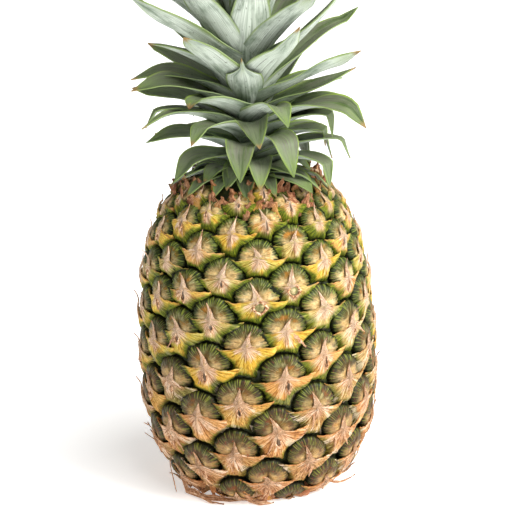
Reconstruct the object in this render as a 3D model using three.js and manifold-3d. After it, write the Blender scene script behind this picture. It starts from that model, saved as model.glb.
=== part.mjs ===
// A whole pineapple standing on its base: the fruit with its eyes, the leafy crown and the cut stalk.
// Millimetres, +Z up. The origin is on the surface that it stands on, under the fruit's axis.
import * as THREE from "three";
import { mergeVertices } from "three/addons/utils/BufferGeometryUtils.js";
import Module from "manifold-3d";

const wasm = await Module();
wasm.setup();

// The fruit's outline, from the edge of its flat base to the foot of the crown, as radius and height.
const FLAT_RADIUS = 33;
const NECK_RADIUS = 23;
const NECK_HEIGHT = 166;
const OUTLINE = [
  [FLAT_RADIUS, 0],
  [42, 1.4],
  [48.5, 6.5],
  [52.5, 14],
  [58.5, 30],
  [61.2, 50],
  [61.5, 75],
  [59.7, 100],
  [55.8, 125],
  [48.5, 144],
  [39.5, 156.5],
  [30.5, 163.5],
  [NECK_RADIUS, NECK_HEIGHT],
];

// The eyes lie on one spiral. Every 8th eye and every 13th eye are neighbours.
const DIVERGENCE = 137.316;
const STEEP_COUNT = 13;
const STEEP_TURNS = 5;
const GENTLE_COUNT = 8;
const GENTLE_TURNS = 3;
const GENTLE_ANGLE = GENTLE_COUNT * DIVERGENCE - GENTLE_TURNS * 360;
const STEEP_ANGLE = STEEP_TURNS * 360 - STEEP_COUNT * DIVERGENCE;
const FIRST_EYE = -91;
const LAST_EYE = 66;
const MIDDLE_ARC = 131;
const MIDDLE_AZIMUTH = -1;
const EYE_RISE = 1.05;
const LOW_GROWTH = 0.003;
const HIGH_SHRINK = 0.0028;

// The eyes of the front and the back are a little broader than those of the sides, as on this fruit.
const FRONT_WIDENING = 2.6;

// How far out its shoulder and its crest lie, as shares of the way to its rim, and half its spine's root.
const CORNER_SHOULDER = 0.76;
const SIDE_SHOULDER = 0.86;
const CREST_SHARE = 0.48;
const SPINE_ROOT = [2.8, 2.4];

// Heights of an eye's relief over the outline.
const GROOVE = -3.2;
const CORNER = -2.2;
const CUSHION_EDGE = -0.9;
const CUSHION_TOP = -0.1;
const BRACT_SHOULDER = -0.5;
const BRACT_CREST = 0.9;
const BRACT_BASE = 1.5;
const SPINE_LENGTH = 8.5;
const SPINE_LIFT = 3.4;
const SPINE_SWAY = 3;
const LAST_FULL_SPINE = 30;
const SHORTEST_SPINE = 0.3;

// The crown's core, as radius and height over its foot, and the space that the leaves keep over the fruit's
// shoulder, from a share of the outline up to the neck, where it closes in.
const CORE_FOOT = NECK_HEIGHT + 0.4;
const CORE = [
  [0, 0],
  [20, 0],
  [20, 14],
  [17, 40],
  [12, 64],
  [5, 84],
  [0, 88],
];
const CORE_SIDES = 14;
const SHOULDER_CLEARANCE = 4.6;
const SHOULDER_FOOT = 0.62;
const SHOULDER_SIDES = 32;
const NECK_SHARE = 0.05;

// The leaves of the side that faces -Y, from the lowest rows to the innermost. A leaf runs in an upright
// plane at its azimuth: from its foot inside the core, past its knee, to its end, and from there to its
// tip. Many are creased at their end and hang down. Reaches are from the axis, heights over the neck.
// [azimuth, half width, foot height, knee reach, knee height, end reach, end height, tip reach, tip height]
const FRONT_LEAVES = [
  [-62, 9, -3, 18, 4, 28, 3, 38, 1],
  [-16, 9.5, -2, 18, 8, 30, 3, 37, -1],
  [28, 10, -3, 22, 10, 34, 8, 40, 6],
  [48, 9.5, -5, 24, 6, 40, 0, 47, -4],
  [10, 9.5, -1, 20, 14, 33, 9, 40, -1],
  [-65, 10, 4, 24, 14, 34, 9, 43, 0],
  [55, 10, -2, 24, 14, 45, 8, 47, -6],
  [-8, 10.5, 6, 22, 24, 33, 18, 38, 3],
  [28, 11, 8, 24, 27, 37, 21, 45, 5],
  [-78, 10, 8, 30, 26, 45, 21, 53, 19],
  [68, 8.5, 4, 30, 20, 49, 18, 53, 8],
  [76, 9.5, 8, 24, 24, 39, 22, 40, 14],
  [3, 10.5, 16, 20, 34, 30, 28, 36, 19],
  [-36, 11, 16, 24, 31, 39, 29, 46, 22],
  [66, 10, 14, 28, 34, 44, 31, 46, 20],
  [-60, 10, 16, 30, 40, 50, 34, 60, 30],
  [-75, 10, 20, 26, 36, 47, 35, 53, 27],
  [28, 12.5, 20, 20, 36, 33, 38, 44, 30],
  [62, 10.5, 18, 36, 42, 56, 35, 65, 26],
  [80, 10.5, 20, 26, 36, 50, 35, 52, 31],
  [-40, 13.5, 24, 20, 40, 38, 42, 41, 39],
  [-72, 10.5, 26, 34, 54, 50, 49, 60, 47],
  [85, 10, 28, 26, 38, 46, 47, 55, 52],
  [-2, 11.5, 32, 16, 44, 22, 52, 24, 60],
  [-86, 10.5, 32, 30, 56, 48, 52, 58, 50],
  [70, 10.5, 34, 24, 46, 48, 56, 59, 62],
  [34, 12.5, 36, 16, 54, 36, 66, 46, 78],
  [-40, 12.5, 38, 18, 54, 38, 68, 46, 75],
  [-80, 10.5, 42, 24, 60, 42, 67, 49, 69],
  [10, 14, 40, 14, 62, 23, 88, 33, 78],
  [-58, 12.5, 48, 22, 66, 50, 85, 62, 95],
  [60, 11.5, 46, 30, 66, 50, 86, 60, 98],
  [36, 11, 50, 26, 76, 48, 88, 58, 96],
  [-42, 12, 46, 16, 70, 36, 94, 44, 104],
  [-62, 12, 50, 20, 80, 44, 96, 52, 104],
  [22, 12, 50, 14, 80, 26, 112, 32, 132],
  [-14, 13.5, 52, 10, 80, 14, 122, 17, 148],
];
const FRONT_REACH = 95;

// The leaves of the far side and the innermost ones all round, by the leaf spiral.
const SPIRAL_COUNT = 48;
const SPIRAL_TURN = 137.508;
const INNER_SHARE = 0.84;

// The short dry leaves that lie on the neck all round.
const COLLAR_COUNT = 12;
const COLLAR_LEAF = [7.5, -2, 20, 8, 27, 5, 33, 0];

const LEAF_FOOT_REACH = 3;
const LEAF_THICKNESS = 1.6;
const LEAF_STATIONS = [0, 0.35, 0.7, 1];
const LEAF_KEEL = 0.38;

// The cut stalk, in a socket under the fruit.
const STALK_RADIUS = 13;
const STALK_LENGTH = 14;
const SOCKET_GAP = 0.6;
const STALK_SIDES = 20;

const radians = THREE.MathUtils.degToRad;

// A small seeded generator, so that every run draws the same numbers.
function seeded(seed) {
  let state = seed;
  return () => {
    state = (state + 0x6d2b79f5) | 0;
    let t = Math.imul(state ^ (state >>> 15), 1 | state);
    t = (t + Math.imul(t ^ (t >>> 7), 61 | t)) ^ t;
    return ((t ^ (t >>> 14)) >>> 0) / 4294967296;
  };
}

function geometryOf(points, triangles) {
  return new THREE.BufferGeometry()
    .setAttribute("position", new THREE.Float32BufferAttribute(points.flat(), 3))
    .setIndex(triangles.flat());
}

function solidOf(geometry) {
  const bare = geometry.clone().deleteAttribute("normal").deleteAttribute("uv");
  const merged = mergeVertices(bare, 1e-4);
  return new wasm.Manifold(
    new wasm.Mesh({
      numProp: 3,
      vertProperties: new Float32Array(merged.attributes.position.array),
      triVerts: new Uint32Array(merged.index.array),
    }),
  );
}

function geometryFrom(solid) {
  const mesh = solid.getMesh();
  return new THREE.BufferGeometry()
    .setAttribute("position", new THREE.BufferAttribute(mesh.vertProperties, 3))
    .setIndex(new THREE.BufferAttribute(mesh.triVerts, 1));
}

const outline = new THREE.SplineCurve(OUTLINE.map(([r, z]) => new THREE.Vector2(r, z)));
outline.arcLengthDivisions = 600;
const outlineLength = outline.getLength();

// The point of the skin at an azimuth in degrees, an arc length up the outline and a height over it.
// Azimuth 0 faces -Y, and azimuth grows towards +X.
function skinPoint(azimuth, arc, height) {
  const share = THREE.MathUtils.clamp(arc / outlineLength, 0, 1);
  const at = outline.getPointAt(share);
  const along = outline.getTangentAt(share);
  const radius = at.x + along.y * height;
  const z = Math.max(0, at.y - along.x * height);
  return [radius * Math.sin(radians(azimuth)), -radius * Math.cos(radians(azimuth)), z];
}

function eyeArc(index) {
  const bend = index < 0 ? LOW_GROWTH : HIGH_SHRINK;
  return MIDDLE_ARC + EYE_RISE * index - bend * index * index;
}

// A point of the lattice, i steps along the gentle spiral and j steps down the steep one.
function latticePlace(i, j) {
  const even = MIDDLE_AZIMUTH + i * GENTLE_ANGLE + j * STEEP_ANGLE;
  return {
    azimuth: even + FRONT_WIDENING * Math.sin(2 * radians(even)),
    arc: eyeArc(GENTLE_COUNT * i - STEEP_COUNT * j),
  };
}

// The twelve points round an eye, in sixths of the lattice steps: middles of its sides and corners by turns.
const AROUND = [
  [3, 0],
  [4, -2],
  [3, -3],
  [2, -4],
  [0, -3],
  [-2, -2],
  [-3, 0],
  [-4, 2],
  [-3, 3],
  [-2, 4],
  [0, 3],
  [2, 2],
];

// Cushion and bract of one eye: rings of 12, 12, 6 and 4 points, and the spine's tip.
function eyeTile(index, draw, pointAt) {
  const i = THREE.MathUtils.euclideanModulo(STEEP_TURNS * index, STEEP_COUNT);
  const j = (GENTLE_COUNT * i - index) / STEEP_COUNT;
  const centre = latticePlace(i, j);
  const radius = Math.hypot(...skinPoint(0, centre.arc, 0).slice(0, 2));
  const inLattice = ([a, b], share, height) => {
    const place = latticePlace(i + (a * share) / 6, j + (b * share) / 6);
    return pointAt(null, place.azimuth, place.arc, height);
  };
  const inMillimetres = (x, y, height) => {
    const azimuth = centre.azimuth + THREE.MathUtils.radToDeg(x / radius);
    return pointAt(null, azimuth, centre.arc + y, height);
  };
  const rim = AROUND.map(([a, b], k) => {
    const place = latticePlace(i + a / 6, j + b / 6);
    const turns = Math.floor((6 * i + a) / (6 * STEEP_COUNT));
    const key = `${6 * i + a - turns * 6 * STEEP_COUNT},${6 * j + b - turns * 6 * GENTLE_COUNT}`;
    return pointAt(key, place.azimuth, place.arc, k % 2 ? CORNER : GROOVE);
  });
  const upper = (k) => k < 5;
  const shoulder = AROUND.map((offset, k) =>
    inLattice(offset, k % 2 ? CORNER_SHOULDER : SIDE_SHOULDER, upper(k) ? CUSHION_EDGE : BRACT_SHOULDER),
  );
  const crestHeights = [CUSHION_TOP, CUSHION_TOP, BRACT_CREST, BRACT_CREST, BRACT_CREST, BRACT_CREST];
  const crest = crestHeights.map((height, q) => inLattice(AROUND[2 * q + 1], CREST_SHARE, height));
  const [rootHalf, rootDrop] = SPINE_ROOT;
  const blade = [
    inMillimetres(rootHalf, 0, BRACT_BASE),
    inMillimetres(0, rootDrop / 2, BRACT_CREST),
    inMillimetres(-rootHalf, 0, BRACT_BASE),
    inMillimetres(0, -rootDrop, BRACT_BASE),
  ];
  const high = THREE.MathUtils.smoothstep(index, LAST_FULL_SPINE, LAST_EYE);
  const size = THREE.MathUtils.lerp(1, SHORTEST_SPINE, high);
  const reach = size * SPINE_LENGTH * (0.8 + 0.4 * draw());
  const tip = inMillimetres(SPINE_SWAY * (draw() - 0.5), reach, size * SPINE_LIFT * (0.6 + 0.8 * draw()));
  const faces = [];
  for (let k = 0; k < 12; k++) {
    const next = (k + 1) % 12;
    faces.push([rim[k], rim[next], shoulder[next]], [rim[k], shoulder[next], shoulder[k]]);
  }
  for (let q = 0; q < 6; q++) {
    const [before, at, after] = [2 * q, 2 * q + 1, (2 * q + 2) % 12].map((k) => shoulder[k]);
    faces.push([before, at, crest[q]], [at, after, crest[q]], [after, crest[(q + 1) % 6], crest[q]]);
  }
  faces.push([crest[5], crest[0], blade[0]], [crest[0], blade[1], blade[0]]);
  faces.push([crest[0], crest[1], blade[1]], [crest[1], blade[2], blade[1]]);
  faces.push([crest[1], crest[2], blade[2]], [crest[2], crest[3], blade[2]]);
  faces.push([crest[3], blade[3], blade[2]], [crest[3], crest[4], blade[3]]);
  faces.push([crest[4], blade[0], blade[3]], [crest[4], crest[5], blade[0]]);
  blade.forEach((point, k) => faces.push([point, blade[(k + 1) % 4], tip]));
  return faces;
}

// The edges that only one face uses, chained into closed loops.
function openLoops(faces) {
  const used = new Set(faces.flatMap(([a, b, c]) => [`${a} ${b}`, `${b} ${c}`, `${c} ${a}`]));
  const next = new Map();
  for (const edge of used) {
    const [a, b] = edge.split(" ").map(Number);
    if (!used.has(`${b} ${a}`)) next.set(b, a);
  }
  const loops = [];
  while (next.size) {
    const loop = [];
    let at = next.keys().next().value;
    while (next.has(at)) {
      const onward = next.get(at);
      next.delete(at);
      loop.push(at);
      at = onward;
    }
    loops.push(loop);
  }
  return loops;
}

// Closes a loop with rings of the same count, each a radius and a height, and a point on the axis.
function closeLoop(loop, points, faces, rings) {
  const turn = (k) => {
    const [x, y] = points[loop[k]];
    return Math.atan2(x, -y);
  };
  const step = Math.sin(turn(3) - turn(0)) > 0 ? 1 : -1;
  const start = turn(0);
  let inner = loop;
  for (const [radius, z] of rings) {
    const ring = loop.map((_, k) => {
      const angle = start + (step * 2 * Math.PI * k) / loop.length;
      return points.push([radius * Math.sin(angle), -radius * Math.cos(angle), z]) - 1;
    });
    inner.forEach((point, k) => {
      const after = (k + 1) % inner.length;
      faces.push([point, inner[after], ring[after]], [point, ring[after], ring[k]]);
    });
    inner = ring;
  }
  const middle = points.push([0, 0, rings.at(-1)[1]]) - 1;
  inner.forEach((point, k) => faces.push([point, inner[(k + 1) % inner.length], middle]));
}

function fruitGeometry() {
  const draw = seeded(11);
  const points = [];
  const byKey = new Map();
  const pointAt = (key, azimuth, arc, height) => {
    if (byKey.has(key)) return byKey.get(key);
    const made = points.push(skinPoint(azimuth, arc, height)) - 1;
    if (key) byKey.set(key, made);
    return made;
  };
  const faces = [];
  for (let index = FIRST_EYE; index <= LAST_EYE; index++) faces.push(...eyeTile(index, draw, pointAt));
  const socket = STALK_RADIUS + SOCKET_GAP;
  const loops = openLoops(faces).sort((a, b) => points[a[0]][2] - points[b[0]][2]);
  closeLoop(loops[0], points, faces, [
    [FLAT_RADIUS, 0],
    [socket, 0],
    [socket, STALK_LENGTH + SOCKET_GAP],
  ]);
  closeLoop(loops[1], points, faces, [[NECK_RADIUS, NECK_HEIGHT]]);
  return geometryOf(points, faces);
}

// A leaf of the spiral, from share 0 for the lowest to share 1 for the innermost.
function spiralLeaf(azimuth, share, draw) {
  const arch = Math.sin(Math.PI * share);
  const inner = Math.max(0, (share - 0.7) / 0.3);
  const foot = -4 + 58 * share;
  const endReach = 36 + 24 * arch - 16 * inner + 6 * (draw() - 0.5);
  const endHeight = 4 + 132 * Math.pow(share, 1.15) + 8 * (draw() - 0.5);
  const kneeReach = (0.5 - 0.15 * inner) * endReach;
  const kneeHeight = foot + 0.72 * (endHeight - foot) + 14 * (1 - share);
  const halfWidth = 10 + 2.8 * arch;
  const creased = share < 0.5 && draw() < 0.5;
  const tipReach = endReach + (creased ? 4 : 9 - 5 * inner) + 3 * (draw() - 0.5);
  const tipHeight = endHeight + (creased ? -13 : 22 * share - 6) + 4 * (draw() - 0.5);
  return [azimuth, halfWidth, foot, kneeReach, kneeHeight, endReach, endHeight, tipReach, tipHeight];
}

function halfWidthAt(v) {
  return (1 - v * v) * (0.92 + 0.14 * v);
}

// One leaf: a blade folded along its keel, with sharp edges, along its curve to the pointed tip.
function leafGeometry(leaf) {
  const [azimuth, halfWidth, foot, kneeReach, kneeHeight, endReach, endHeight, tipReach, tipHeight] = leaf;
  const turn = radians(azimuth);
  const outward = new THREE.Vector3(Math.sin(turn), -Math.cos(turn), 0);
  const across = new THREE.Vector3(Math.cos(turn), Math.sin(turn), 0);
  const up = new THREE.Vector3(0, 0, 1);
  const curve = new THREE.QuadraticBezierCurve(
    new THREE.Vector2(LEAF_FOOT_REACH, foot),
    new THREE.Vector2(kneeReach, kneeHeight),
    new THREE.Vector2(endReach, endHeight),
  );
  const path = [...LEAF_STATIONS.map((t) => curve.getPoint(t)), new THREE.Vector2(tipReach, tipHeight)];
  const directions = path.slice(1).map((at, k) => at.clone().sub(path[k]).normalize());
  const walked = [0];
  path.slice(1).forEach((at, k) => walked.push(walked[k] + at.distanceTo(path[k])));
  const last = path.length - 1;
  const points = [];
  path.forEach((at, k) => {
    const v = walked[k] / walked[last];
    const centre = outward.clone().multiplyScalar(at.x).setZ(NECK_HEIGHT + at.y);
    if (k === last) {
      points.push(centre.toArray());
      return;
    }
    const before = directions[Math.max(0, k - 1)];
    const along = directions[k].clone().add(before).normalize();
    const upper = up.clone().multiplyScalar(along.x).addScaledVector(outward, -along.y);
    const width = halfWidth * halfWidthAt(v);
    const keel = LEAF_KEEL * width * (1 - 0.4 * v);
    const thick = LEAF_THICKNESS * (1 - 0.5 * v);
    const place = (x, height) => {
      const sideways = centre.clone().addScaledVector(across, x * width);
      points.push(sideways.addScaledVector(upper, height).toArray());
    };
    place(-1, keel);
    place(0, thick / 2);
    place(1, keel);
    place(0, -thick / 2);
  });
  const faces = [];
  for (let k = 0; k < last; k++) {
    for (let c = 0; c < 4; c++) {
      const [a, b] = [4 * k + c, 4 * k + ((c + 1) % 4)];
      if (k === last - 1) faces.push([b, a, 4 * last]);
      else faces.push([b, a, b + 4], [b + 4, a, a + 4]);
    }
  }
  faces.push([0, 1, 3], [1, 2, 3]);
  return geometryOf(points, faces);
}

function crownCore() {
  const core = new THREE.LatheGeometry(
    CORE.map(([r, z]) => new THREE.Vector2(r, z)),
    CORE_SIDES,
  );
  return core.rotateX(Math.PI / 2).translate(0, 0, CORE_FOOT);
}

// The space that the fruit's shoulder and its spines take, which the leaves stay out of.
function shoulderSpace() {
  const steps = 14;
  const rings = [];
  for (let k = 0; k <= steps; k++) {
    const share = THREE.MathUtils.lerp(SHOULDER_FOOT, 1, k / steps);
    const at = outline.getPointAt(share);
    const along = outline.getTangentAt(share);
    const clear = SHOULDER_CLEARANCE * Math.min(1, (1 - share) / NECK_SHARE);
    rings.push([at.x + along.y * clear, at.y - along.x * clear]);
  }
  rings.unshift([0, rings[0][1]]);
  rings.push([0, NECK_HEIGHT]);
  const space = new THREE.LatheGeometry(
    rings.map(([r, z]) => new THREE.Vector2(r, z)),
    SHOULDER_SIDES,
  );
  return space.rotateX(Math.PI / 2);
}

function spiralLeaves() {
  const draw = seeded(5);
  const leaves = [];
  for (let k = 0; k < SPIRAL_COUNT; k++) {
    const share = k / (SPIRAL_COUNT - 1);
    const azimuth = THREE.MathUtils.euclideanModulo(k * SPIRAL_TURN + 180, 360) - 180;
    const leaf = spiralLeaf(azimuth, share, draw);
    if (Math.abs(azimuth) > FRONT_REACH || share > INNER_SHARE) leaves.push(leaf);
  }
  return leaves;
}

function collarLeaves() {
  return Array.from({ length: COLLAR_COUNT }, (_, k) => [(360 * (k + 0.5)) / COLLAR_COUNT, ...COLLAR_LEAF]);
}

function crownGeometry() {
  let crown = solidOf(crownCore());
  for (const leaf of [...collarLeaves(), ...FRONT_LEAVES, ...spiralLeaves()]) {
    crown = crown.add(solidOf(leafGeometry(leaf)));
  }
  const pieces = crown.subtract(solidOf(shoulderSpace())).decompose();
  return geometryFrom(pieces.reduce((most, one) => (one.volume() > most.volume() ? one : most)));
}

function stalkGeometry() {
  const stalk = new THREE.CylinderGeometry(STALK_RADIUS, STALK_RADIUS, STALK_LENGTH, STALK_SIDES);
  return stalk.rotateX(Math.PI / 2).translate(0, 0, STALK_LENGTH / 2);
}

function piece(name, geometry, color, roughness) {
  const material = new THREE.MeshStandardMaterial({ color, roughness, metalness: 0 });
  const mesh = new THREE.Mesh(geometry, material);
  mesh.name = name;
  return mesh;
}

const pineapple = new THREE.Group();
pineapple.add(
  piece("fruit", fruitGeometry(), 0xa8863c, 0.6),
  piece("crown", crownGeometry(), 0x6d8467, 0.55),
  piece("stalk", stalkGeometry(), 0x9a7b52, 0.85),
);

export default pineapple;
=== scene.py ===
# A whole pineapple on its cut base: the rind with its eyes and bracts, the leafy crown and the cut stalk.
# Pieces are shaped in millimetres, and become metres when their points are set.
import math
from types import SimpleNamespace

import bpy
import numpy as np
from mathutils import Matrix, Vector


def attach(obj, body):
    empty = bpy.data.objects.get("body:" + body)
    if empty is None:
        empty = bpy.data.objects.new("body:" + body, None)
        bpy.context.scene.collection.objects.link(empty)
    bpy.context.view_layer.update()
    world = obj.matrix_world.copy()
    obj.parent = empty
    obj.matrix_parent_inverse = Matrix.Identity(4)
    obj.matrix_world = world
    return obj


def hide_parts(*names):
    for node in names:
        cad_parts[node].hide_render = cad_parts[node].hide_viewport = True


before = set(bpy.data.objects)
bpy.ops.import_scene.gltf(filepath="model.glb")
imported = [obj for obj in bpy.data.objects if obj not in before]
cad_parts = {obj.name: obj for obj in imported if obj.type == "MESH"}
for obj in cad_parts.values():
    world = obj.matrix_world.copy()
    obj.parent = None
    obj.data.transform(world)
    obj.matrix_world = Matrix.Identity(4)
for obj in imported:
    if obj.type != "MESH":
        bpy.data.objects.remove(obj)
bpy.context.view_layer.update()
bpy.ops.object.select_all(action="DESELECT")

MM = 0.001
BODY = "root"

# The fruit's outline, from the edge of its flat base to the foot of the crown, as radius and height.
FLAT_RADIUS = 33
NECK_HEIGHT = 166
OUTLINE = [
    (FLAT_RADIUS, 0), (42, 1.4), (48.5, 6.5), (52.5, 14),
    (58.5, 30), (61.2, 50), (61.5, 75), (59.7, 100), (55.8, 125),
    (48.5, 144), (39.5, 156.5), (30.5, 163.5), (23, NECK_HEIGHT),
]
OUTLINE_STEPS = 50

# The spiral that the eyes lie on.
DIVERGENCE = 137.316
FIRST_EYE = -91
LAST_EYE = 66
MIDDLE_ARC = 131
MIDDLE_AZIMUTH = -1
EYE_RISE = 1.05
LOW_GROWTH = 0.003
HIGH_SHRINK = 0.0028
FULL_RADIUS = 61
ROW_PITCH = 22
FRONT_WIDENING = 2.6

# The chances of the looks, which move each eye a little off the solid's.
EYE_SEED = 7
AZIMUTH_SPREAD = 0.8
ARC_SPREAD = 0.7
LEAN_SPREAD = 0.06
SIZE_SPREAD = 0.03
# A bract's spine, with the same draws as the solid under it.
SPINE_SEED = 11
SPINE_LENGTH = 8.5
SPINE_LIFT = 3.4
SPINE_SWAY = 3
LAST_FULL_SPINE = 30
SHORTEST_SPINE = 0.3
# The two eyes near the middle whose bracts are torn open round a small bud.
BUDDED_EYES = (0, 8)


def seeded(seed):
    """A small generator that gives the same numbers as the one that placed the solids."""
    state = seed
    whole = 0xFFFFFFFF

    def draw():
        nonlocal state
        state = (state + 0x6D2B79F5) & whole
        t = ((state ^ (state >> 15)) * (1 | state)) & whole
        t = (t + (((t ^ (t >> 7)) * (61 | t)) & whole)) & whole ^ t
        return ((t ^ (t >> 14)) & whole) / 4294967296

    return draw


def smoothstep(value, low, high):
    t = np.clip((value - low) / (high - low), 0, 1)
    return t * t * (3 - 2 * t)


def walked_along(path):
    """How far along a path each of its points lies."""
    return np.concatenate([[0], np.cumsum(np.linalg.norm(np.diff(path, axis=0), axis=1))])


def unit(vectors):
    return vectors / np.linalg.norm(vectors, axis=1)[:, None]


def outline_table():
    """Arc lengths up the outline, the spots there and the directions along it."""
    points = np.array([OUTLINE[0], *OUTLINE, OUTLINE[-1]], float)
    t = np.linspace(0, 1, OUTLINE_STEPS, endpoint=False)[:, None]
    spots = []
    for k in range(len(OUTLINE) - 1):
        before, start, end, after = points[k : k + 4]
        leave = (end - before) / 2
        arrive = (after - start) / 2
        cubic = 2 * start - 2 * end + leave + arrive
        square = 3 * end - 3 * start - 2 * leave - arrive
        spots.append(cubic * t**3 + square * t**2 + leave * t + start)
    spots = np.concatenate([*spots, points[-1:]])
    arcs = walked_along(spots)
    return arcs, spots, unit(np.gradient(spots, arcs, axis=0))


ARCS, SPOTS, ALONG = outline_table()


def profile_at(arc, height):
    """Radii and heights of points over the outline, and past its ends."""
    under = np.minimum(arc, 0)
    over = np.maximum(arc - ARCS[-1], 0)
    out = np.interp(arc, ARCS, ALONG[:, 1])
    up = -np.interp(arc, ARCS, ALONG[:, 0])
    radius = np.interp(arc, ARCS, SPOTS[:, 0]) + under - over + out * height
    return radius, np.maximum(0, np.interp(arc, ARCS, SPOTS[:, 1]) + up * height)


def skin_points(azimuth, arc, height):
    """Points over the outline. Azimuth 0 faces -Y and grows towards +X."""
    radius, z = profile_at(arc, height)
    turn = np.radians(azimuth)
    return np.stack([radius * np.sin(turn), -radius * np.cos(turn), z], axis=1)


def eye_arc(index):
    bend = LOW_GROWTH if index < 0 else HIGH_SHRINK
    return MIDDLE_ARC + EYE_RISE * index - bend * index * index


def widened(azimuth):
    """The eyes of the front and the back are a little broader than those of the sides."""
    return azimuth + FRONT_WIDENING * math.sin(2 * math.radians(azimuth))


def all_eyes():
    """Every eye from the base to the neck, with its place, its sizes and its own chances."""
    draw = seeded(SPINE_SEED)
    chances = np.random.default_rng(EYE_SEED)
    eyes = []
    for index in range(FIRST_EYE, LAST_EYE + 1):
        reach, sway, lift = draw(), draw(), draw()
        size = 1 + (SHORTEST_SPINE - 1) * smoothstep(index, LAST_FULL_SPINE, LAST_EYE)
        pitch = (eye_arc(index + 1) - eye_arc(index - 1)) / 2 / EYE_RISE
        eyes.append(SimpleNamespace(
            azimuth=widened(MIDDLE_AZIMUTH + index * DIVERGENCE) + chances.normal(0, AZIMUTH_SPREAD),
            arc=eye_arc(index) + chances.normal(0, ARC_SPREAD),
            pitch=pitch,
            tall=pitch**0.45,
            wide=1 + math.radians(2 * FRONT_WIDENING) * math.cos(2 * math.radians(index * DIVERGENCE)),
            lean=chances.normal(0, LEAN_SPREAD),
            size=1 + chances.normal(0, SIZE_SPREAD),
            tip=SPINE_LENGTH * size * (0.25 + 0.5 * reach),
            sway=SPINE_SWAY * (sway - 0.5) * 2.6,
            lift=size * SPINE_LIFT * (0.2 + 1.1 * lift**2),
            height=(index - FIRST_EYE) / (LAST_EYE - FIRST_EYE),
            chance=chances.random(6),
            budded=index in BUDDED_EYES,
        ))
    return eyes


def lattice_spots(eye, x, y):
    """Azimuths and arc lengths from an eye's own millimetres across and up the arc."""
    turned_x = eye.size * eye.wide * (x * math.cos(eye.lean) - y * math.sin(eye.lean))
    turned_y = eye.size * (x * math.sin(eye.lean) + y * math.cos(eye.lean))
    return eye.azimuth + np.degrees(turned_x / FULL_RADIUS), eye.arc + turned_y


def on_rind(eye, x, y, height):
    return skin_points(*lattice_spots(eye, x, y), height)


def nearness(eye, eyes, x, y):
    """How far the nearest other cushion's middle is, as a share of the way to its rim there."""
    azimuth, arc = lattice_spots(eye, x, y)
    nearest = np.full(len(azimuth), 9.0)
    for other in eyes:
        if other is eye or abs(other.arc - eye.arc) > 3 * ROW_PITCH:
            continue
        turn = (azimuth - other.azimuth + 180) % 360 - 180
        across = np.radians(turn) * FULL_RADIUS / (CUSHION_HALF * other.size * other.wide)
        up = (arc - other.arc) / (other.size * other.tall) - CUSHION_MIDDLE
        up = up / np.where(up > 0, CUSHION_RISE, CUSHION_FALL)
        nearest = np.minimum(nearest, np.hypot(across, up))
    return nearest


def points_of(mesh):
    flat = np.empty(3 * len(mesh.vertices))
    mesh.vertices.foreach_get("co", flat)
    return flat.reshape(-1, 3)


def set_points(mesh, millimetres):
    mesh.vertices.foreach_set("co", (millimetres * MM).ravel())
    mesh.update()


def set_attribute(mesh, name, *columns):
    """A named value of three numbers at each point, which the materials read."""
    layer = mesh.attributes.new(name, "FLOAT_VECTOR", "POINT")
    values = np.stack(np.broadcast_arrays(np.zeros(len(mesh.vertices)), *columns)[1:], axis=1)
    layer.data.foreach_set("vector", values.astype(np.float32).ravel())


def grid_of(columns, rows):
    """A flat grid, and the place of each of its points across and along it, from -1 to 1."""
    bpy.ops.mesh.primitive_grid_add(x_subdivisions=columns, y_subdivisions=rows, size=2)
    grid = bpy.context.object
    across, along, _ = points_of(grid.data).T
    return grid, across, along


def choose(*pieces):
    bpy.ops.object.select_all(action="DESELECT")
    for piece in pieces:
        piece.select_set(True)
    bpy.context.view_layer.objects.active = pieces[0]


def new_object(name, data):
    thing = bpy.data.objects.new(name, data)
    bpy.context.collection.objects.link(thing)
    return thing


def joined_copies(template, name, shapes):
    """A copy of the template for each shape, given as points and named values, joined into one."""
    copies = []
    for points, values in shapes:
        copy = new_object(name, template.data.copy())
        set_points(copy.data, points)
        for value, columns in values.items():
            set_attribute(copy.data, value, *columns)
        copies.append(copy)
    bpy.data.objects.remove(template)
    choose(*copies)
    bpy.ops.object.join()
    piece = bpy.context.object
    piece.name = name
    piece.data.name = name
    return piece


def thicken(piece, thickness, **settings):
    solid = piece.modifiers.new("thickness", "SOLIDIFY")
    solid.thickness = thickness * MM
    for name, value in settings.items():
        setattr(solid, name, value)
    choose(piece)
    bpy.ops.object.modifier_apply(modifier=solid.name)


def belong(piece, part, angle=60):
    """Shades a piece softly up to an angle, ties it to the body and hides the part that it stands for."""
    choose(piece)
    bpy.ops.object.shade_smooth_by_angle(angle=math.radians(angle))
    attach(piece, BODY)
    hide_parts(part)


def wear(piece, *materials):
    for material in materials:
        piece.data.materials.append(material)


def screen(red, green, blue):
    """A colour as a screen shows it, 0 to 255, for a shader."""
    shares = np.array([red, green, blue]) / 255
    linear = np.where(shares <= 0.04045, shares / 12.92, ((shares + 0.055) / 1.055) ** 2.4)
    return (*(float(share) for share in linear), 1.0)


def feed(socket, value):
    """Sets a node's input to a number or a screen colour, or links it to a value that varies."""
    if isinstance(value, Value):
        value.tree.links.new(value.socket, socket)
    else:
        socket.default_value = screen(*value) if isinstance(value, tuple) else value


def add_node(tree, kind, *given, **settings):
    """A new node with these settings, and with its first inputs given in order."""
    node = tree.nodes.new("ShaderNode" + kind)
    for name, setting in settings.items():
        setattr(node, name, setting)
    for socket, value in zip(node.inputs, given):
        feed(socket, value)
    return node


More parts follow.
